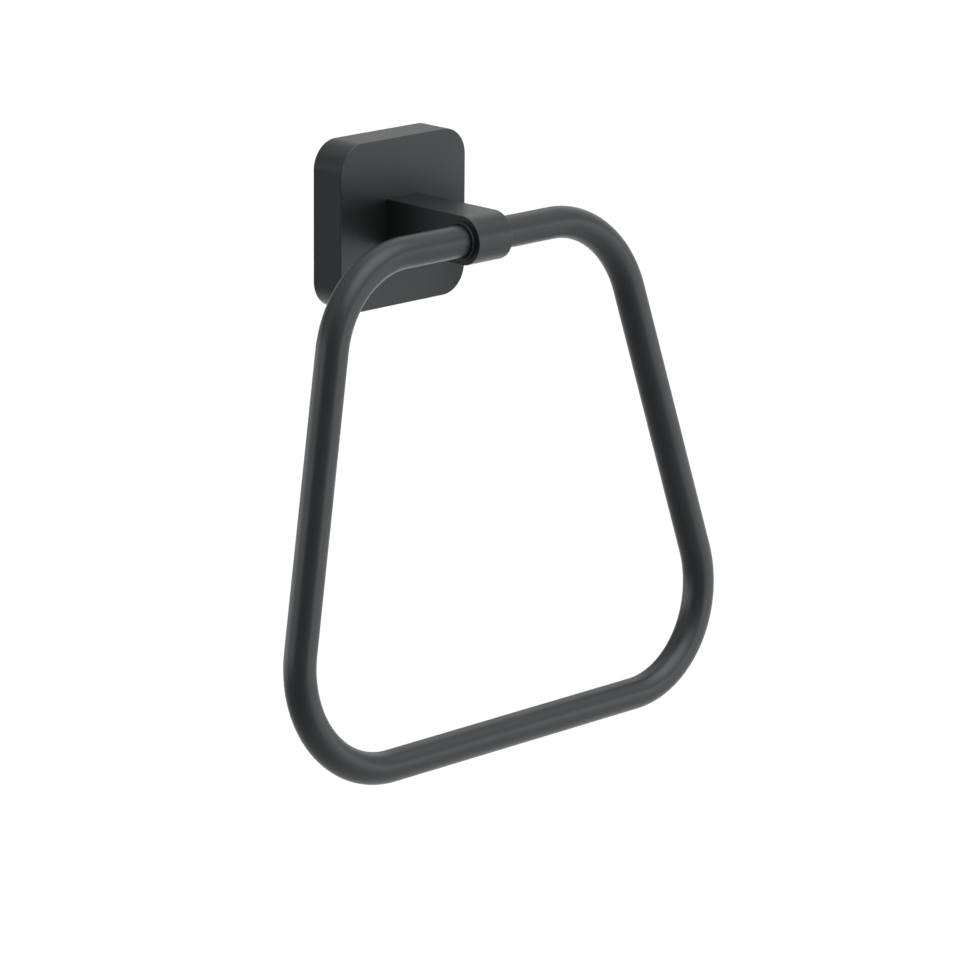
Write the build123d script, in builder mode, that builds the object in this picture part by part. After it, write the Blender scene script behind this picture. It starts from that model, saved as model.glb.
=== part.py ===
"""Towel ring: a bent round rod that swings in the eye of a square arm on a rounded-square cover plate.

Sizes are in millimetres. The origin is the middle of the plate on the wall. X is to the right, Y goes into the
wall and Z is up, so everything that stands out from the wall has a negative Y.
"""

import os

from build123d import *

os.makedirs("parts", exist_ok=True)

# Cover plate: a shell with an open back
plate_size = 54.0
plate_depth = 12.5
plate_corner_radius = 9.2
plate_edge_chamfer = 0.4
plate_side_wall = 2.5
plate_front_wall = 3.0

# Ring: round rod, bent with one radius; widths and drop run between the crossings of its straight centre lines
rod_diameter = 10.2
ring_top_width = 116.4
ring_bottom_width = 194.8
ring_drop = 157.3
ring_bend_radius = 34.0
ring_swing = 6.6
rod_end_chamfer = 0.6

# Arm and the eye at its end
arm_reach = 46.5
arm_width = 14.4
arm_edge_chamfer = 0.4
eye_wall = 1.7
tenon_depth = 1.5
tenon_shoulder = 2.0

# Bush between the rod and the eye
bush_wall = 0.8
bush_proud = 1.0
bush_edge_chamfer = 0.2

# Wall bracket: a channel pressed from sheet, open to the front, with an ear on each side for a wall screw
bracket_sheet = 2.0
bracket_bend_radius = 1.0
flange_width = 26.0
ear_corner_radius = 3.0
wall_hole_spacing = 25.0
wall_slot_width = 5.0
wall_slot_length = 8.0
wall_slot_margin = 3.0

# Screws: thread diameters, heads, points and the keys that fit their sockets
arm_screw_diameter = 5.0
arm_screw_head_diameter = 9.0
arm_screw_head_height = 3.0
arm_screw_head_chamfer = 0.6
arm_screw_grip = 12.0
arm_screw_key = 3.0
set_screw_diameter = 4.0
set_screw_point_diameter = 2.0
set_screw_point_height = 1.0
set_screw_key = 2.0
retaining_screw_diameter = 3.0
retaining_point_diameter = 2.0
retaining_point_reach = 2.0
retaining_screw_key = 1.5
grub_recess = 0.3
grub_socket_depth = 0.9
arm_socket_depth = 1.8

# Clearances
rod_clearance = 0.1
bush_fit = 0.1
rod_end_clearance = 0.3
tenon_fit = 0.1
thread_fit = 0.1
arm_hole_runout = 1.0
bracket_fit = 0.3
bracket_front_gap = 2.0
point_fit = 0.1

# Sizes that follow from those above
cavity_size = plate_size - 2 * plate_side_wall
cavity_depth = plate_depth - plate_front_wall
cavity_corner_radius = plate_corner_radius - plate_side_wall

rod_radius = rod_diameter / 2
bush_bore_radius = rod_radius + rod_clearance
bush_radius = bush_bore_radius + bush_wall
eye_bore_radius = bush_radius + bush_fit
eye_radius = eye_bore_radius + eye_wall
arm_height = 2 * eye_radius
rod_end_gap = retaining_point_diameter + 2 * rod_end_clearance

tenon_width = arm_width - 2 * tenon_shoulder
tenon_height = arm_height - 2 * tenon_shoulder

ear_span = wall_hole_spacing + wall_slot_length + 2 * wall_slot_margin
ear_height = wall_slot_width + 2 * wall_slot_margin
bracket_height = cavity_size - 2 * bracket_fit
bracket_depth = cavity_depth - bracket_front_gap
bracket_outer_radius = bracket_bend_radius + bracket_sheet
set_screw_out = (bracket_outer_radius + bracket_depth) / 2

# The foot of each grub screw and the plane that the ring lies in
set_screw_foot = -plate_size / 2 + grub_recess
retaining_screw_foot = -eye_radius + grub_recess
ring_plane = Plane.XZ.offset(arm_reach).rotated((-ring_swing, 0, 0))

# The cover plate is cast with its hollow back. Its front has a shallow socket that keeps the arm from turning.
with BuildPart() as cover_plate:
    with BuildSketch(Plane.XZ):
        RectangleRounded(plate_size, plate_size, plate_corner_radius)
    extrude(amount=plate_depth)
    chamfer(cover_plate.faces().sort_by(Axis.Y)[0].edges(), plate_edge_chamfer)
    with BuildSketch(Plane.XZ):
        RectangleRounded(cavity_size, cavity_size, cavity_corner_radius)
    extrude(amount=cavity_depth, mode=Mode.SUBTRACT)
    with BuildSketch(Plane.XZ.offset(plate_depth)):
        Rectangle(tenon_width + 2 * tenon_fit, tenon_height + 2 * tenon_fit)
    extrude(amount=-tenon_depth - tenon_fit, mode=Mode.SUBTRACT)
    with BuildSketch(Plane.XZ.offset(cavity_depth)):
        Circle(arm_screw_diameter / 2 + thread_fit)
    extrude(amount=plate_front_wall, mode=Mode.SUBTRACT)
    with BuildSketch(Plane.XY.offset(-plate_size / 2)):
        with Locations((0, -set_screw_out)):
            Circle(set_screw_diameter / 2 + thread_fit)
    extrude(amount=plate_side_wall, mode=Mode.SUBTRACT)

# The wall bracket is a pressed channel. Its web lies on the wall and the plate hangs on its upper flange.
with BuildPart() as wall_bracket:
    with BuildSketch(Plane.YZ) as bracket_outside:
        with Locations((-bracket_depth / 2, 0)):
            Rectangle(bracket_depth, bracket_height)
        fillet(bracket_outside.vertices().group_by(Axis.X)[-1], bracket_outer_radius)
    extrude(amount=flange_width / 2, both=True)
    with BuildSketch(Plane.YZ.offset(-flange_width / 2)) as bracket_inside:
        with Locations((-bracket_sheet - bracket_depth / 2, 0)):
            Rectangle(bracket_depth, bracket_height - 2 * bracket_sheet)
        fillet(bracket_inside.vertices().group_by(Axis.X)[-1], bracket_bend_radius)
    extrude(amount=flange_width, mode=Mode.SUBTRACT)
    with BuildSketch(Plane.XZ):
        RectangleRounded(ear_span, ear_height, ear_corner_radius)
    extrude(amount=bracket_sheet)
    with BuildSketch(Plane.XZ):
        with GridLocations(wall_hole_spacing, 0, 2, 1):
            SlotOverall(wall_slot_length, wall_slot_width)
    extrude(amount=bracket_sheet, mode=Mode.SUBTRACT)
    with BuildSketch(Plane.XY.offset(-bracket_height / 2)):
        with Locations((0, -set_screw_out)):
            Circle(set_screw_diameter / 2 + point_fit)
    extrude(amount=bracket_sheet, mode=Mode.SUBTRACT)

# The cover's set screw goes up through the plate's lower wall, and its cone point enters the bracket's flange.
with BuildPart() as cover_set_screw:
    with BuildSketch(Plane.XZ.offset(set_screw_out)):
        with BuildLine():
            Polyline(
                (0, set_screw_foot),
                (set_screw_diameter / 2, set_screw_foot),
                (set_screw_diameter / 2, -bracket_height / 2),
                (set_screw_point_diameter / 2, -bracket_height / 2 + set_screw_point_height),
                (0, -bracket_height / 2 + set_screw_point_height),
                close=True,
            )
        make_face()
    revolve(axis=Axis((0, -set_screw_out, 0), (0, 0, 1)))
    with BuildSketch(Plane.XY.offset(set_screw_foot)):
        with Locations((0, -set_screw_out)):
            RegularPolygon(set_screw_key / 2, 6, major_radius=False)
    extrude(amount=grub_socket_depth, mode=Mode.SUBTRACT)

# The arm is one block: a square bar whose end is rounded about the eye's bore, with a tenon at its root.
with BuildPart() as arm:
    with BuildSketch(Plane.YZ):
        with BuildLine():
            Line((-plate_depth, eye_radius), (-arm_reach, eye_radius))
            ThreePointArc((-arm_reach, eye_radius), (-arm_reach - eye_radius, 0), (-arm_reach, -eye_radius))
            Line((-arm_reach, -eye_radius), (-plate_depth, -eye_radius))
            Line((-plate_depth, -eye_radius), (-plate_depth, eye_radius))
        make_face()
    extrude(amount=arm_width / 2, both=True)
    for side_face in (arm.faces().sort_by(Axis.X)[0], arm.faces().sort_by(Axis.X)[-1]):
        chamfer(side_face.edges().sort_by(Axis.Y)[:-1], arm_edge_chamfer)
    with BuildSketch(Plane.XZ.offset(plate_depth)):
        Rectangle(tenon_width, tenon_height)
    extrude(amount=-tenon_depth)
    with BuildSketch(Plane.YZ.offset(-arm_width / 2)):
        with Locations((-arm_reach, 0)):
            Circle(eye_bore_radius)
    extrude(amount=arm_width, mode=Mode.SUBTRACT)
    with BuildSketch(Plane.XZ.offset(plate_depth - tenon_depth)):
        Circle(arm_screw_diameter / 2 + thread_fit)
    extrude(amount=arm_screw_grip + arm_hole_runout, mode=Mode.SUBTRACT)
    with BuildSketch(Plane.XY.offset(-eye_radius)):
        with Locations((0, -arm_reach)):
            Circle(retaining_screw_diameter / 2 + thread_fit)
    extrude(amount=eye_radius, mode=Mode.SUBTRACT)

# The arm screw is put in from inside the plate, and its head bears on the back of the plate's front wall.
with BuildPart() as arm_screw:
    with BuildSketch(Plane.XY):
        with BuildLine():
            Polyline(
                (0, arm_screw_head_height - cavity_depth),
                (arm_screw_head_diameter / 2, arm_screw_head_height - cavity_depth),
                (arm_screw_head_diameter / 2, -cavity_depth),
                (arm_screw_diameter / 2, -cavity_depth),
                (arm_screw_diameter / 2, tenon_depth - plate_depth - arm_screw_grip),
                (0, tenon_depth - plate_depth - arm_screw_grip),
                close=True,
            )
        make_face()
    revolve(axis=Axis.Y)
    chamfer(arm_screw.faces().sort_by(Axis.Y)[-1].edges(), arm_screw_head_chamfer)
    with BuildSketch(Plane.XZ.offset(cavity_depth - arm_screw_head_height)):
        RegularPolygon(arm_screw_key / 2, 6, major_radius=False)
    extrude(amount=arm_socket_depth, mode=Mode.SUBTRACT)

# The bush is a plain sleeve through the eye, a little longer than the arm is wide.
with BuildPart() as eye_bush:
    with BuildSketch(Plane.YZ):
        with Locations((-arm_reach, 0)):
            Circle(bush_radius)
    extrude(amount=arm_width / 2 + bush_proud, both=True)
    for end_face in (eye_bush.faces().sort_by(Axis.X)[0], eye_bush.faces().sort_by(Axis.X)[-1]):
        chamfer(end_face.edges(), bush_edge_chamfer)
    with BuildSketch(Plane.YZ):
        with Locations((-arm_reach, 0)):
            Circle(bush_bore_radius)
    extrude(amount=arm_width / 2 + bush_proud, both=True, mode=Mode.SUBTRACT)
    with BuildSketch(Plane.XY.offset(-eye_radius)):
        with Locations((0, -arm_reach)):
            Circle(retaining_screw_diameter / 2 + thread_fit)
    extrude(amount=eye_radius, mode=Mode.SUBTRACT)

# The ring is one rod, bent four times. Its two ends go into the bush from either side and leave a gap there.
with BuildPart() as ring:
    with BuildLine(ring_plane) as ring_path:
        FilletPolyline(
            (rod_end_gap / 2, 0),
            (ring_top_width / 2, 0),
            (ring_bottom_width / 2, -ring_drop),
            (-ring_bottom_width / 2, -ring_drop),
            (-ring_top_width / 2, 0),
            (-rod_end_gap / 2, 0),
            radius=ring_bend_radius,
        )
    with BuildSketch(Plane(ring_path.line @ 0, z_dir=ring_path.line % 0)):
        Circle(rod_radius)
    sweep(path=ring_path.line)
    rod_ends = ring.faces().filter_by(GeomType.PLANE)
    chamfer(rod_ends.edges(), rod_end_chamfer)

# The retaining screw's thread stays in the eye's wall, and its point stands between the rod's two ends.
with BuildPart() as ring_retaining_screw:
    with BuildSketch(Plane.XZ.offset(arm_reach)):
        with BuildLine():
            Polyline(
                (0, retaining_screw_foot),
                (retaining_screw_diameter / 2, retaining_screw_foot),
                (retaining_screw_diameter / 2, -bush_bore_radius),
                (retaining_point_diameter / 2, -bush_bore_radius),
                (retaining_point_diameter / 2, retaining_point_reach - bush_bore_radius),
                (0, retaining_point_reach - bush_bore_radius),
                close=True,
            )
        make_face()
    revolve(axis=Axis((0, -arm_reach, 0), (0, 0, 1)))
    with BuildSketch(Plane.XY.offset(retaining_screw_foot)):
        with Locations((0, -arm_reach)):
            RegularPolygon(retaining_screw_key / 2, 6, major_radius=False)
    extrude(amount=grub_socket_depth, mode=Mode.SUBTRACT)

cover_plate.part.label = "cover_plate"
export_step(cover_plate.part, "parts/cover_plate.step")
wall_bracket.part.label = "wall_bracket"
export_step(wall_bracket.part, "parts/wall_bracket.step")
cover_set_screw.part.label = "cover_set_screw"
export_step(cover_set_screw.part, "parts/cover_set_screw.step")
arm.part.label = "arm"
export_step(arm.part, "parts/arm.step")
arm_screw.part.label = "arm_screw"
export_step(arm_screw.part, "parts/arm_screw.step")
eye_bush.part.label = "eye_bush"
export_step(eye_bush.part, "parts/eye_bush.step")
ring.part.label = "ring"
export_step(ring.part, "parts/ring.step")
ring_retaining_screw.part.label = "ring_retaining_screw"
export_step(ring_retaining_screw.part, "parts/ring_retaining_screw.step")
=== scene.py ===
"""Towel ring in satin black powder coat.

Metres, in the frame of the CAD model: X to the right, Y to the back, Z up, origin in the middle of the plate's back.
"""
import math

import bmesh
import bpy
from mathutils import Matrix, Vector


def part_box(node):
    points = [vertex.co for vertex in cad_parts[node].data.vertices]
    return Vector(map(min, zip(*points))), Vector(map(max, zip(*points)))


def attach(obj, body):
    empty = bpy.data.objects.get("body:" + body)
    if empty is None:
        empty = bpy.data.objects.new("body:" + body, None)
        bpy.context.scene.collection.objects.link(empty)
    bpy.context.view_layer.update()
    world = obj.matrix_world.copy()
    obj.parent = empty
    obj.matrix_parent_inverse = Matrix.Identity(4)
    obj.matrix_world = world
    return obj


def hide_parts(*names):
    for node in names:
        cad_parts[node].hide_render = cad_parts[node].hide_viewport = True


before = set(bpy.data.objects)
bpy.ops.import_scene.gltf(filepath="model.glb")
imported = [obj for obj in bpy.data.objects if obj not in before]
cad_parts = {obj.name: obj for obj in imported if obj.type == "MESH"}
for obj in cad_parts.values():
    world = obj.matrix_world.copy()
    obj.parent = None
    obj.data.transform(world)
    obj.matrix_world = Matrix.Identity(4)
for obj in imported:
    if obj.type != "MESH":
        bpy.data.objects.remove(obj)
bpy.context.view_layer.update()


# Wall bracket. A channel pressed from 2 mm steel strip, with an ear on each side that is slotted for a screw.
# It is zinc plated. It is screwed down first, and the cover plate then hangs on its upper flange.

mm = 0.001
across, outward, up = Vector((1, 0, 0)), Vector((0, -1, 0)), Vector((0, 0, 1))
overshoot = 1 * mm
sharp_from = math.radians(40)
bracket_sheet, bracket_bend = 2 * mm, 1 * mm
flange_width, flange_tip = 26 * mm, 0.4 * mm
ear_span, ear_height, ear_corner, ear_set_in = 39 * mm, 11 * mm, 3 * mm, 0.005 * mm
wall_slot_spacing, wall_slot_length, wall_slot_width, wall_slot_end = 25 * mm, 8 * mm, 5 * mm, 2.4975 * mm
pressed_edge, pressed_edge_steps = 0.25 * mm, 2
set_screw_out, point_hole, hole_steps = 5.25 * mm, 2.1 * mm, 32
zinc_dark, zinc_light, zinc_cloud = (0.50, 0.52, 0.55), (0.58, 0.59, 0.60), 6 * mm
zinc_smooth, zinc_rough = 0.24, 0.42
rolled_line_width, rolled_line_depth, rolled_line_squeeze = 1.2 * mm, 0.002 * mm, (1, 1, 0.08)


def rounded_outline(corners, steps=10):
    """A closed outline through (u, v, radius) corners, with each corner replaced by an arc of that radius."""
    outline = []
    for place, (u, v, radius) in enumerate(corners):
        corner = Vector((u, v))
        before = (Vector(corners[place - 1][:2]) - corner).normalized()
        after = (Vector(corners[(place + 1) % len(corners)][:2]) - corner).normalized()
        if not radius:
            outline.append(corner)
            continue
        half_angle = before.angle(after) / 2
        centre = corner + (before + after).normalized() * (radius / math.sin(half_angle))
        first = corner + before * (radius / math.tan(half_angle)) - centre
        last = corner + after * (radius / math.tan(half_angle)) - centre
        sweep = first.angle_signed(last)
        for step in range(steps + 1):
            outline.append(centre + Matrix.Rotation(-sweep * step / steps, 2) @ first)
    return outline


def rounded_box(width, height, radius):
    """The four corners of a rectangle about the origin, for rounded_outline."""
    return [(side * width / 2, rise * height / 2, radius) for side, rise in ((1, 1), (-1, 1), (-1, -1), (1, -1))]


def circle(centre_u, centre_v, radius, steps):
    """A circle as an outline."""
    turns = [2 * math.pi * step / steps for step in range(steps)]
    return [Vector((centre_u + radius * math.cos(turn), centre_v + radius * math.sin(turn))) for turn in turns]


def slab(name, outline, u_axis, v_axis, start, end, soft_ends=(), soft_radius=0.0, soft_steps=5):
    """A closed slab: the outline pushed from start to end, with the rims at the ends in soft_ends rounded."""
    shape = bmesh.new()
    rims = []
    for level in (start, end):
        rims.append([shape.verts.new(u_axis * point.x + v_axis * point.y + level) for point in outline])
    caps = [shape.faces.new(rim) for rim in rims]
    for place in range(len(outline)):
        after = (place + 1) % len(outline)
        shape.faces.new((rims[0][place], rims[0][after], rims[1][after], rims[1][place]))
    bmesh.ops.recalc_face_normals(shape, faces=shape.faces)
    if soft_radius:
        edges = [edge for end_number in soft_ends for edge in caps[end_number].edges]
        bmesh.ops.bevel(shape, geom=edges, offset=soft_radius, segments=soft_steps, profile=0.5, affect="EDGES")
    return blank_from(shape, name)


def blank_from(shape, name):
    """A new object made of that mesh."""
    mesh = bpy.data.meshes.new(name)
    shape.to_mesh(mesh)
    shape.free()
    blank = bpy.data.objects.new(name, mesh)
    bpy.context.collection.objects.link(blank)
    return blank


def machine(blank, added, removed):
    """Joins and cuts away the other solids, then turns the blank into a plain mesh with clean flat faces."""
    for operation, tools in (("UNION", added), ("DIFFERENCE", removed)):
        for tool in tools:
            step = blank.modifiers.new(operation, "BOOLEAN")
            step.operation = operation
            step.solver = "EXACT"
            step.object = tool
    settle(blank)
    for tool in (*added, *removed):
        bpy.data.objects.remove(tool)
    blank.data.polygons.foreach_set("use_smooth", [True] * len(blank.data.polygons))
    blank.data.set_sharp_from_angle(angle=sharp_from)
    shading = blank.modifiers.new("flat faces stay flat", "WEIGHTED_NORMAL")
    shading.keep_sharp = True
    settle(blank)


def settle(piece):
    """Bakes the piece's modifiers into a plain mesh."""
    bpy.context.view_layer.update()
    evaluated = piece.evaluated_get(bpy.context.evaluated_depsgraph_get())
    mesh = bpy.data.meshes.new_from_object(evaluated)
    piece.modifiers.clear()
    piece.data = mesh


def fit(piece, material, body, node):
    """Gives the piece its finish, and puts it in the place of its CAD node."""
    piece.data.materials.clear()
    piece.data.materials.append(material)
    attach(piece, body)
    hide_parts(node)


def shader(name):
    """A new material: the material, its nodes, a function that links two sockets, and its surface shader."""
    material = bpy.data.materials.new(name)
    material.use_nodes = True
    nodes, links = material.node_tree.nodes, material.node_tree.links
    return material, nodes, links.new, nodes["Principled BSDF"]


def noise(nodes, link, size, detail=3.0, squeeze=(1, 1, 1)):
    """A noise pattern with features of about that size in metres, in the piece's own coordinates."""
    place, scale = nodes.new("ShaderNodeTexCoord"), nodes.new("ShaderNodeMapping")
    pattern = nodes.new("ShaderNodeTexNoise")
    scale.inputs["Scale"].default_value = squeeze
    pattern.inputs["Scale"].default_value = 1 / size
    pattern.inputs["Detail"].default_value = detail
    link(place.outputs["Object"], scale.inputs["Vector"])
    link(scale.outputs["Vector"], pattern.inputs["Vector"])
    return pattern.outputs["Fac"]


def spread(nodes, link, pattern, low, high, low_from=0.3, high_from=0.7):
    """Maps a pattern to a range of values."""
    span = nodes.new("ShaderNodeMapRange")
    span.inputs["From Min"].default_value, span.inputs["From Max"].default_value = low_from, high_from
    span.inputs["To Min"].default_value, span.inputs["To Max"].default_value = low, high
    link(pattern, span.inputs["Value"])
    return span.outputs["Result"]


def tints(nodes, link, pattern, dark, light, low_from=0.3, high_from=0.7):
    """Maps a pattern to colours between two."""
    ramp = nodes.new("ShaderNodeValToRGB")
    for stop, (place, colour) in zip(ramp.color_ramp.elements, ((low_from, dark), (high_from, light))):
        stop.position, stop.color = place, (*colour, 1)
    link(pattern, ramp.inputs["Fac"])
    return ramp.outputs["Color"]


def grain(nodes, link, pattern, surface, depth):
    """Raises the surface by the pattern."""
    bump = nodes.new("ShaderNodeBump")
    bump.inputs["Strength"].default_value = 1.0
    bump.inputs["Distance"].default_value = depth
    link(pattern, bump.inputs["Height"])
    link(bump.outputs["Normal"], surface.inputs["Normal"])


zinc_plate, nodes, link, surface = shader("zinc_plate")
rolled_lines = noise(nodes, link, rolled_line_width, detail=4, squeeze=rolled_line_squeeze)
surface.inputs["Metallic"].default_value = 1.0
link(tints(nodes, link, noise(nodes, link, zinc_cloud), zinc_dark, zinc_light), surface.inputs["Base Color"])
link(spread(nodes, link, rolled_lines, zinc_smooth, zinc_rough), surface.inputs["Roughness"])
grain(nodes, link, rolled_lines, surface, rolled_line_depth)

bracket_low, bracket_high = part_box("wall_bracket")
bracket_half, bracket_depth = bracket_high[2], -bracket_low[1]
inner_half = bracket_half - bracket_sheet
outer_bend = bracket_bend + bracket_sheet
channel = rounded_outline([
    (bracket_depth, bracket_half, flange_tip), (0, bracket_half, outer_bend), (0, -bracket_half, outer_bend),
    (bracket_depth, -bracket_half, flange_tip), (bracket_depth, -inner_half, flange_tip),
    (bracket_sheet, -inner_half, bracket_bend), (bracket_sheet, inner_half, bracket_bend),
    (bracket_depth, inner_half, flange_tip)])
wall_bracket = slab(
    "wall_bracket_pressed", channel, outward, up, across * (-flange_width / 2), across * (flange_width / 2),
    (0, 1), pressed_edge, pressed_edge_steps)
ears = slab(
    "ears", rounded_outline(rounded_box(ear_span, ear_height, ear_corner)), across, up,
    outward * ear_set_in, outward * (bracket_sheet - ear_set_in), (0, 1), pressed_edge, pressed_edge_steps)
wall_slot_outline = rounded_outline(rounded_box(wall_slot_length, wall_slot_width, wall_slot_end))
wall_slots = []
for side in (-1, 1):
    middle = across * (side * wall_slot_spacing / 2)
    wall_slots.append(slab(
        "wall_slot", wall_slot_outline, across, up,
        middle - outward * overshoot, middle + outward * (bracket_sheet + overshoot)))
point_seat = slab(
    "point_seat", circle(0, set_screw_out, point_hole, hole_steps), across, outward,
    up * -(bracket_half + overshoot), up * -(inner_half - overshoot))
machine(wall_bracket, [ears], [*wall_slots, point_seat])
fit(wall_bracket, zinc_plate, "base", "wall_bracket")


# Cover plate. A rounded square die-cast in zinc alloy, hollow at the back, with a crisp small radius round its face.
# It is powder coated satin black, goes over the bracket and is locked from below.

plate_corner, plate_corner_steps, cavity_corner_steps = 9.2 * mm, 24, 16
plate_edge = 0.45 * mm
plate_side_wall, plate_front_wall = 2.5 * mm, 3 * mm
arm_tenon_width, arm_tenon_height, tenon_depth, tenon_fit = 10.4 * mm, 11.6 * mm, 1.5 * mm, 0.1 * mm
arm_screw_hole, set_screw_hole = 2.6 * mm, 2.1 * mm
coat_dark, coat_light, coat_cloud = (0.0060, 0.0068, 0.0071), (0.0082, 0.0092, 0.0096), 14 * mm
coat_smooth, coat_rough = 0.32, 0.38
coat_gloss_tint = (0.87, 0.97, 1.0, 1)
orange_peel_size, orange_peel_depth = 0.9 * mm, 0.006 * mm
nib_spacing, nib_size, nib_colour = 6 * mm, 0.16 * mm, (0.045, 0.047, 0.048, 1)

powder_coat, nodes, link, surface = shader("powder_coat")
clouds = noise(nodes, link, coat_cloud, detail=4)
dust, coat = nodes.new("ShaderNodeTexVoronoi"), nodes.new("ShaderNodeMix")
dust.inputs["Scale"].default_value = 1 / nib_spacing
coat.data_type = "RGBA"
coat.inputs["B"].default_value = nib_colour
nib_edge = nib_size / nib_spacing
nibs = spread(nodes, link, dust.outputs["Distance"], 1, 0, nib_edge / 2, nib_edge)
link(nodes.new("ShaderNodeTexCoord").outputs["Object"], dust.inputs["Vector"])
link(nibs, coat.inputs["Factor"])
link(tints(nodes, link, clouds, coat_dark, coat_light), coat.inputs["A"])
link(coat.outputs["Result"], surface.inputs["Base Color"])
link(spread(nodes, link, clouds, coat_rough, coat_smooth), surface.inputs["Roughness"])
grain(nodes, link, noise(nodes, link, orange_peel_size, detail=2), surface, orange_peel_depth)
surface.inputs["Specular Tint"].default_value = coat_gloss_tint

plate_low, plate_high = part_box("cover_plate")
plate_size, plate_depth = plate_high[0] - plate_low[0], -plate_low[1]
cavity_size, cavity_depth = plate_size - 2 * plate_side_wall, plate_depth - plate_front_wall
socket_width, socket_height = arm_tenon_width + 2 * tenon_fit, arm_tenon_height + 2 * tenon_fit
cover_plate = slab(
    "cover_plate_cast", rounded_outline(rounded_box(plate_size, plate_size, plate_corner), plate_corner_steps),
    across, up, outward * 0, outward * plate_depth, (1,), plate_edge)
cavity_corner = plate_corner - plate_side_wall
hollow = slab(
    "hollow", rounded_outline(rounded_box(cavity_size, cavity_size, cavity_corner), cavity_corner_steps),
    across, up, outward * -overshoot, outward * cavity_depth)
tenon_socket = slab(
    "tenon_socket", rounded_outline(rounded_box(socket_width, socket_height, 0)), across, up,
    outward * (plate_depth - tenon_depth - tenon_fit), outward * (plate_depth + overshoot))
arm_hole = slab(
    "arm_hole", circle(0, 0, arm_screw_hole, hole_steps), across, up,
    outward * (cavity_depth - overshoot), outward * (plate_depth + overshoot))
lock_hole = slab(
    "lock_hole", circle(0, set_screw_out, set_screw_hole, hole_steps), across, outward,
    up * (-plate_size / 2 - overshoot), up * (-cavity_size / 2 + overshoot))
machine(cover_plate, [], [hollow, tenon_socket, arm_hole, lock_hole])
fit(cover_plate, powder_coat, "base", "cover_plate")


# Cover set screw. A small cone-point grub screw of black oxide steel in the plate's lower wall.
# A 2 mm hexagon key turns it, and its point enters the bracket's lower flange.

oxide_dark, oxide_light, oxide_cloud = (0.028, 0.028, 0.031), (0.055, 0.054, 0.056), 1.5 * mm
oxide_smooth, oxide_rough, oxide_grain = 0.30, 0.48, 0.8 * mm

black_oxide, nodes, link, surface = shader("black_oxide")
surface.inputs["Metallic"].default_value = 1.0
link(tints(nodes, link, noise(nodes, link, oxide_cloud), oxide_dark, oxide_light), surface.inputs["Base Color"])
link(spread(nodes, link, noise(nodes, link, oxide_grain), oxide_smooth, oxide_rough), surface.inputs["Roughness"])
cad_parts["cover_set_screw"].material_slots[0].material = black_oxide


# Arm. A square bar of the same alloy, square-cut at the root and rounded over at the end about the eye's bore.
# It is powder coated with the plate, and a screw from inside the plate draws its tenon into the plate's socket.

arm_edge = 0.15 * mm
arm_screw_depth = 13 * mm
eye_bore, eye_steps, eye_bore_steps = 6.1 * mm, 80, 96
retaining_hole = 1.6 * mm

arm_low, arm_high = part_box("arm")
arm_half, eye_radius = arm_high[0], arm_high[2]
eye_reach = -arm_low[1] - eye_radius
arm_outline = [Vector((plate_depth, eye_radius)), Vector((plate_depth, -eye_radius))]
for step in range(eye_steps + 1):
    turn = math.pi * step / eye_steps
    arm_outline.append(Vector((eye_reach + eye_radius * math.sin(turn), -eye_radius * math.cos(turn))))
arm = slab("arm_cast", arm_outline, outward, up, across * -arm_half, across * arm_half, (0, 1), arm_edge)
tenon = slab(
    "tenon", rounded_outline(rounded_box(arm_tenon_width, arm_tenon_height, 0)), across, up,
    outward * (plate_depth - tenon_depth), outward * (plate_depth + overshoot))
bore = slab(
    "bore", circle(eye_reach, 0, eye_bore, eye_bore_steps), outward, up,
    across * (-arm_half - overshoot), across * (arm_half + overshoot))
tapped_hole = slab(
    "tapped_hole", circle(0, 0, arm_screw_hole, hole_steps), across, up,
    outward * (plate_depth - tenon_depth - overshoot), outward * (plate_depth - tenon_depth + arm_screw_depth))
retaining_bore = slab(
    "retaining_bore", circle(0, eye_reach, retaining_hole, hole_steps), across, outward,
    up * (-eye_radius - overshoot), up * 0)
machine(arm, [tenon], [bore, tapped_hole, retaining_bore])
fit(arm, powder_coat, "base", "arm")


# Arm screw. A zinc-plated socket-head screw that holds the arm from inside the plate.
# Its head bears on the back of the plate's front wall.

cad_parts["arm_screw"].material_slots[0].material = zinc_plate


# Eye bush. A thin sleeve turned from black nylon, pressed into the eye and a little proud of the arm on each side.
# The ring's rod turns in it.

bush_bore, bush_edge, bush_edge_steps = 5.2 * mm, 0.15 * mm, 4
bush_press_fit, bush_lead = 0.02 * mm, 1 * mm
bush_steps = 128
nylon_dark, nylon_light, nylon_cloud = (0.0055, 0.0062, 0.0066), (0.0085, 0.0094, 0.0100), 2 * mm
nylon_smooth, nylon_rough, nylon_grain = 0.38, 0.50, 0.6 * mm


def turned(name, profile, centre, axis, side, steps):
    """A lathe piece: the closed (along, out) profile spun about an axis through the centre."""
    shape = bmesh.new()
    rings = []
    for step in range(steps):
        out = Matrix.Rotation(2 * math.pi * step / steps, 3, axis) @ side
        rings.append([shape.verts.new(centre + axis * point.x + out * point.y) for point in profile])
    for place, ring in enumerate(rings):
        following = rings[(place + 1) % steps]
        for number in range(len(profile)):
            after = (number + 1) % len(profile)
            shape.faces.new((ring[number], ring[after], following[after], following[number]))
    bmesh.ops.recalc_face_normals(shape, faces=shape.faces)
    return blank_from(shape, name)


black_nylon, nodes, link, surface = shader("black_nylon")
link(tints(nodes, link, noise(nodes, link, nylon_cloud), nylon_dark, nylon_light), surface.inputs["Base Color"])
link(spread(nodes, link, noise(nodes, link, nylon_grain), nylon_smooth, nylon_rough), surface.inputs["Roughness"])
surface.inputs["Specular Tint"].default_value = coat_gloss_tint

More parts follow.
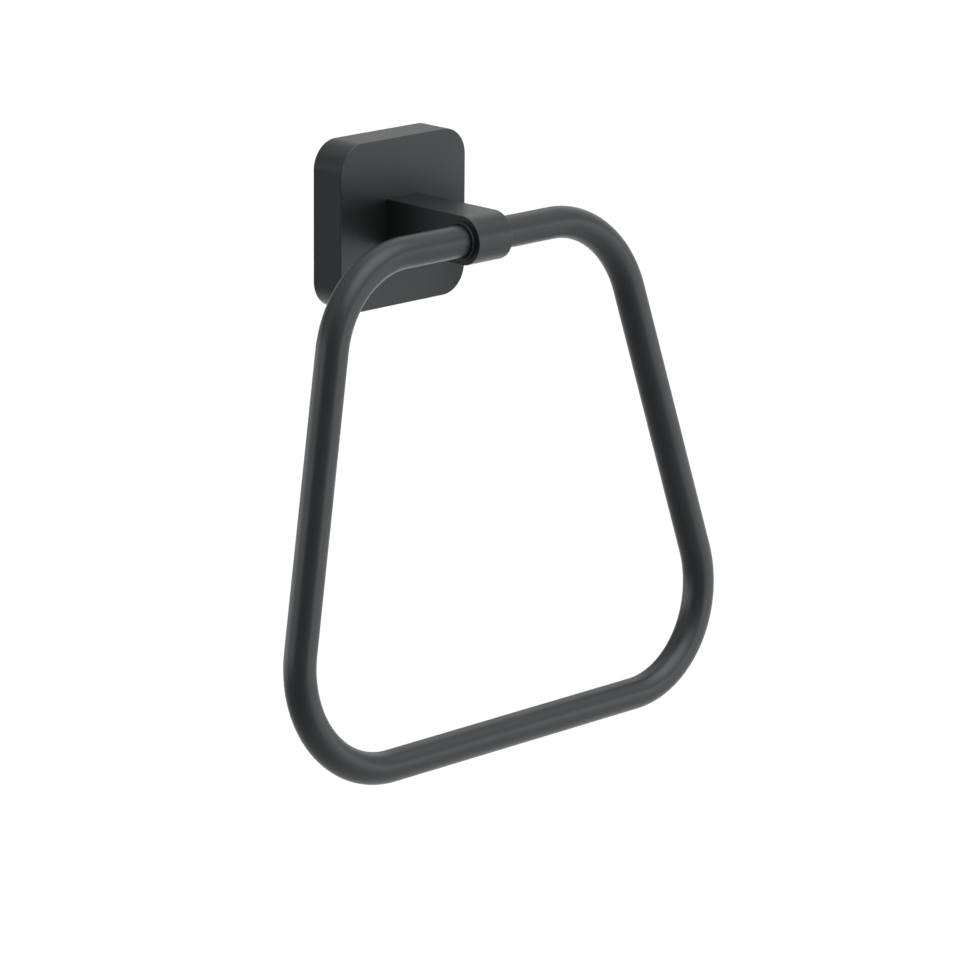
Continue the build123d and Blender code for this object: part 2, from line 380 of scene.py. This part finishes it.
bush_low, bush_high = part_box("eye_bush")
bush_half, bush_radius = bush_high[0], bush_high[2]
pressed_half, pressed_radius = arm_half - bush_lead, eye_bore - bush_press_fit
sleeve = rounded_outline([
    (-bush_half, bush_bore, bush_edge), (bush_half, bush_bore, bush_edge), (bush_half, bush_radius, bush_edge),
    (pressed_half, bush_radius, 0), (pressed_half - bush_lead, pressed_radius, 0),
    (bush_lead - pressed_half, pressed_radius, 0), (-pressed_half, bush_radius, 0),
    (-bush_half, bush_radius, bush_edge)], bush_edge_steps)
eye_centre = outward * eye_reach
eye_bush = turned("eye_bush_sleeve", sleeve, eye_centre, across, up, bush_steps)
bush_hole = slab(
    "bush_hole", circle(0, eye_reach, retaining_hole, hole_steps), across, outward, up * -eye_radius, up * 0)
machine(eye_bush, [], [bush_hole])
fit(eye_bush, black_nylon, "base", "eye_bush")


# Ring. One length of 10 mm steel rod, bent four times to a trapezoid with the same former and powder coated.
# Its two ends meet inside the bush, with a gap between them for the retaining screw's point.

rod_diameter, rod_end_gap, rod_steps = 10.2 * mm, 2.6 * mm, 72
ring_top_width, ring_bottom_width, ring_drop = 116.4 * mm, 194.8 * mm, 157.3 * mm
ring_bend, bend_steps = 34 * mm, 40
ring_swing = math.radians(6.6)

ring_lie = Matrix.Translation(eye_centre) @ Matrix.Rotation(-ring_swing, 4, "X")
right_half = ((rod_end_gap / 2, 0), (ring_top_width / 2, 0), (ring_bottom_width / 2, ring_drop))
rod_corners = [(half, -drop) for half, drop in right_half] + [(-half, -drop) for half, drop in reversed(right_half)]
rod_line = bpy.data.meshes.new("rod_line")
rod_line.from_pydata(
    [ring_lie @ Vector((aside, 0, rise)) for aside, rise in rod_corners],
    [(place, place + 1) for place in range(len(rod_corners) - 1)], [])
ring = bpy.data.objects.new("ring_bent_rod", rod_line)
bpy.context.collection.objects.link(ring)

bent_rod = bpy.data.node_groups.new("bent_rod", "GeometryNodeTree")
bent_rod.interface.new_socket("Centre line", in_out="INPUT", socket_type="NodeSocketGeometry")
bent_rod.interface.new_socket("Rod", in_out="OUTPUT", socket_type="NodeSocketGeometry")
bending_sizes = {}
for size_name, kind, size in (
        ("Rod radius", "NodeSocketFloat", rod_diameter / 2), ("Bend radius", "NodeSocketFloat", ring_bend),
        ("Bend steps", "NodeSocketInt", bend_steps), ("Rod steps", "NodeSocketInt", rod_steps)):
    bending_sizes[bent_rod.interface.new_socket(size_name, in_out="INPUT", socket_type=kind).identifier] = size
given, made = bent_rod.nodes.new("NodeGroupInput"), bent_rod.nodes.new("NodeGroupOutput")
line, bends, section, tube, smooth, whole, coated = (bent_rod.nodes.new("GeometryNode" + kind) for kind in (
    "MeshToCurve", "FilletCurve", "CurvePrimitiveCircle", "CurveToMesh", "SetShadeSmooth", "RealizeInstances",
    "SetMaterial"))
bends.mode = "POLY"
tube.inputs["Fill Caps"].default_value = True
coated.inputs["Material"].default_value = powder_coat
for source, target in (
        (given.outputs["Centre line"], line.inputs["Mesh"]), (line.outputs["Curve"], bends.inputs["Curve"]),
        (given.outputs["Bend radius"], bends.inputs["Radius"]), (given.outputs["Bend steps"], bends.inputs["Count"]),
        (given.outputs["Rod radius"], section.inputs["Radius"]),
        (given.outputs["Rod steps"], section.inputs["Resolution"]),
        (bends.outputs["Curve"], tube.inputs["Curve"]), (section.outputs["Curve"], tube.inputs["Profile Curve"]),
        (tube.outputs["Mesh"], smooth.inputs["Geometry"]), (smooth.outputs["Geometry"], whole.inputs["Geometry"]),
        (whole.outputs["Geometry"], coated.inputs["Geometry"]), (coated.outputs["Geometry"], made.inputs["Rod"])):
    bent_rod.links.new(source, target)
bending = ring.modifiers.new("bending", "NODES")
bending.node_group = bent_rod
for identifier, size in bending_sizes.items():
    bending[identifier] = size
settle(ring)
fit(ring, powder_coat, "ring", "ring")


# Ring retaining screw. A dog-point grub screw of black oxide steel in the eye's underside.
# Its point stands between the rod's ends, so that the ring turns but cannot slide sideways.

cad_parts["ring_retaining_screw"].material_slots[0].material = black_oxide


# Floor, light and camera. A pale paper floor well below, with painted shade on it: its colour goes from grey on the
# left to white on the right, standing in for less light on the left. A white room that is brighter overhead and in
# patches round about. Three soft boxes stand low round the object, two in front for everything, and one behind on the
# left that is flagged off all but the ring. The lens is long.

floor_level, floor_half = -1.2, 30.0
# The paper's grey end is painted shade: the floor is coloured darker on the left to stand in for less light there.
painted_shade_grey, paper_white = (0.30, 0.30, 0.30), (0.75, 0.75, 0.75)
paper_turn, paper_from, paper_to = 86, -1.94, 1.10
room_shade, room_light = 0.37, 0.99
room_turn, room_rise, room_from, room_to = 67, 32, 0.14, 0.67
window_softness = 0.35
windows = (  # name, degrees round from the front, degrees up, half-angle, added brightness
    ("overhead", 14, 58, 26, 2.26), ("back_top", -119, 74, 41, 0.59), ("left_side", -110, 3, 21, 1.53),
    ("right_front", 33, 2, 17, 1.14), ("right_side", 116, 28, 14, 0.35))
softbox_reach = 1.3
softboxes = (  # name, degrees round from the front, half-width, lower edge, upper edge, brightness, all that it lights
    ("front", 20, 10, -24, 5, 0.90, ()), ("front_right", 54, 12, -24, 8, 0.70, ()),
    ("back_left", -150, 18, -19, 8, 1.7, (ring,)))
photo_size = 960
lens, film, far_clip = 181.56, 36.0, 60
view_turn, view_rise, view_roll = (math.radians(angle) for angle in (-44.352, 15.261, -0.481))
stand_off = 1.53728
plate_pixel = (376.58, 214.01)


def toward(turn, rise):
    """The direction at so many degrees round from the front and up from the level."""
    turn, rise = math.radians(turn), math.radians(rise)
    return Vector((math.sin(turn) * math.cos(rise), -math.cos(turn) * math.cos(rise), math.sin(rise)))


def along(nodes, link, place, direction, low_from, high_from, low, high):
    """A soft step from low to high along a direction."""
    reach, step = nodes.new("ShaderNodeVectorMath"), nodes.new("ShaderNodeMapRange")
    reach.operation, step.interpolation_type = "DOT_PRODUCT", "SMOOTHSTEP"
    reach.inputs[1].default_value = direction
    step.inputs["From Min"].default_value, step.inputs["From Max"].default_value = low_from, high_from
    step.inputs["To Min"].default_value, step.inputs["To Max"].default_value = low, high
    link(place, reach.inputs[0])
    link(reach.outputs["Value"], step.inputs["Value"])
    return step.outputs["Result"]


def facing(x_axis, y_axis, z_axis, place):
    """The matrix of an object at that place with those axes."""
    return Matrix.Translation(place) @ Matrix((x_axis, y_axis, z_axis)).transposed().to_4x4()


floor_corners = [(x * floor_half, y * floor_half, floor_level) for x, y in ((-1, -1), (1, -1), (1, 1), (-1, 1))]
floor_mesh = bpy.data.meshes.new("floor")
floor_mesh.from_pydata(floor_corners, [], [(0, 1, 2, 3)])
floor = bpy.data.objects.new("floor", floor_mesh)
bpy.context.collection.objects.link(floor)
paper, nodes, link, surface = shader("paper")
place = nodes.new("ShaderNodeTexCoord").outputs["Object"]
# Painted shade: the paper's colour steps from grey on the left to white on the right.
painted_shade_grade = along(nodes, link, place, toward(paper_turn, 0), paper_from, paper_to, 0, 1)
link(tints(nodes, link, painted_shade_grade, painted_shade_grey, paper_white, 0, 1), surface.inputs["Base Color"])
surface.inputs["Roughness"].default_value = 1.0
surface.inputs["Specular IOR Level"].default_value = 0.0
floor_mesh.materials.append(paper)

room = bpy.data.worlds.new("room")
room.use_nodes = True
nodes, link = room.node_tree.nodes, room.node_tree.links.new
place = nodes.new("ShaderNodeTexCoord").outputs["Generated"]
brightness = along(nodes, link, place, toward(room_turn, room_rise), room_from, room_to, room_shade, room_light)
for name, turn, rise, half_angle, strength in windows:
    outer, inner = (math.cos(math.radians(half_angle * (1 + side * window_softness))) for side in (1, -1))
    total = nodes.new("ShaderNodeMath")
    total.name = name
    link(brightness, total.inputs[0])
    link(along(nodes, link, place, toward(turn, rise), outer, inner, 0, strength), total.inputs[1])
    brightness = total.outputs["Value"]
link(brightness, nodes["Background"].inputs["Strength"])
nodes["Background"].inputs["Color"].default_value = (1, 1, 1, 1)
bpy.context.scene.world = room

for name, turn, half_width, low, high, strength, lit_pieces in softboxes:
    width, bottom, top = (softbox_reach * math.tan(math.radians(angle)) for angle in (half_width, low, high))
    lamp = bpy.data.lights.new(name, "AREA")
    lamp.shape, lamp.size, lamp.size_y = "RECTANGLE", 2 * width, top - bottom
    lamp.energy = strength * math.pi * lamp.size * lamp.size_y
    softbox = bpy.data.objects.new(name, lamp)
    away = toward(turn, 0)
    softbox.matrix_world = facing(up.cross(away), up, away, away * softbox_reach + up * (top + bottom) / 2)
    softbox.visible_camera = False
    bpy.context.collection.objects.link(softbox)
    if lit_pieces:
        lit = bpy.data.collections.new("lit_by_" + name)
        for piece in lit_pieces:
            lit.objects.link(piece)
        softbox.light_linking.receiver_collection = lit

back = Vector((
    math.sin(view_turn) * math.cos(view_rise), -math.cos(view_turn) * math.cos(view_rise), math.sin(view_rise)))
level = Vector((math.cos(view_turn), math.sin(view_turn), 0))
plumb = level.cross(back)
right = level * math.cos(view_roll) + plumb * math.sin(view_roll)
down = plumb * math.cos(view_roll) - level * math.sin(view_roll)
pixel = stand_off * film / (lens * photo_size)
aside, below = ((place - photo_size / 2) * pixel for place in plate_pixel)
camera_data = bpy.data.cameras.new("camera")
camera_data.lens, camera_data.sensor_width, camera_data.clip_end = lens, film, far_clip
camera = bpy.data.objects.new("camera", camera_data)
camera.matrix_world = facing(right, -down, back, back * stand_off - right * aside - down * below)
bpy.context.collection.objects.link(camera)
bpy.context.scene.camera = camera
bpy.context.scene.view_settings.view_transform = "Standard"
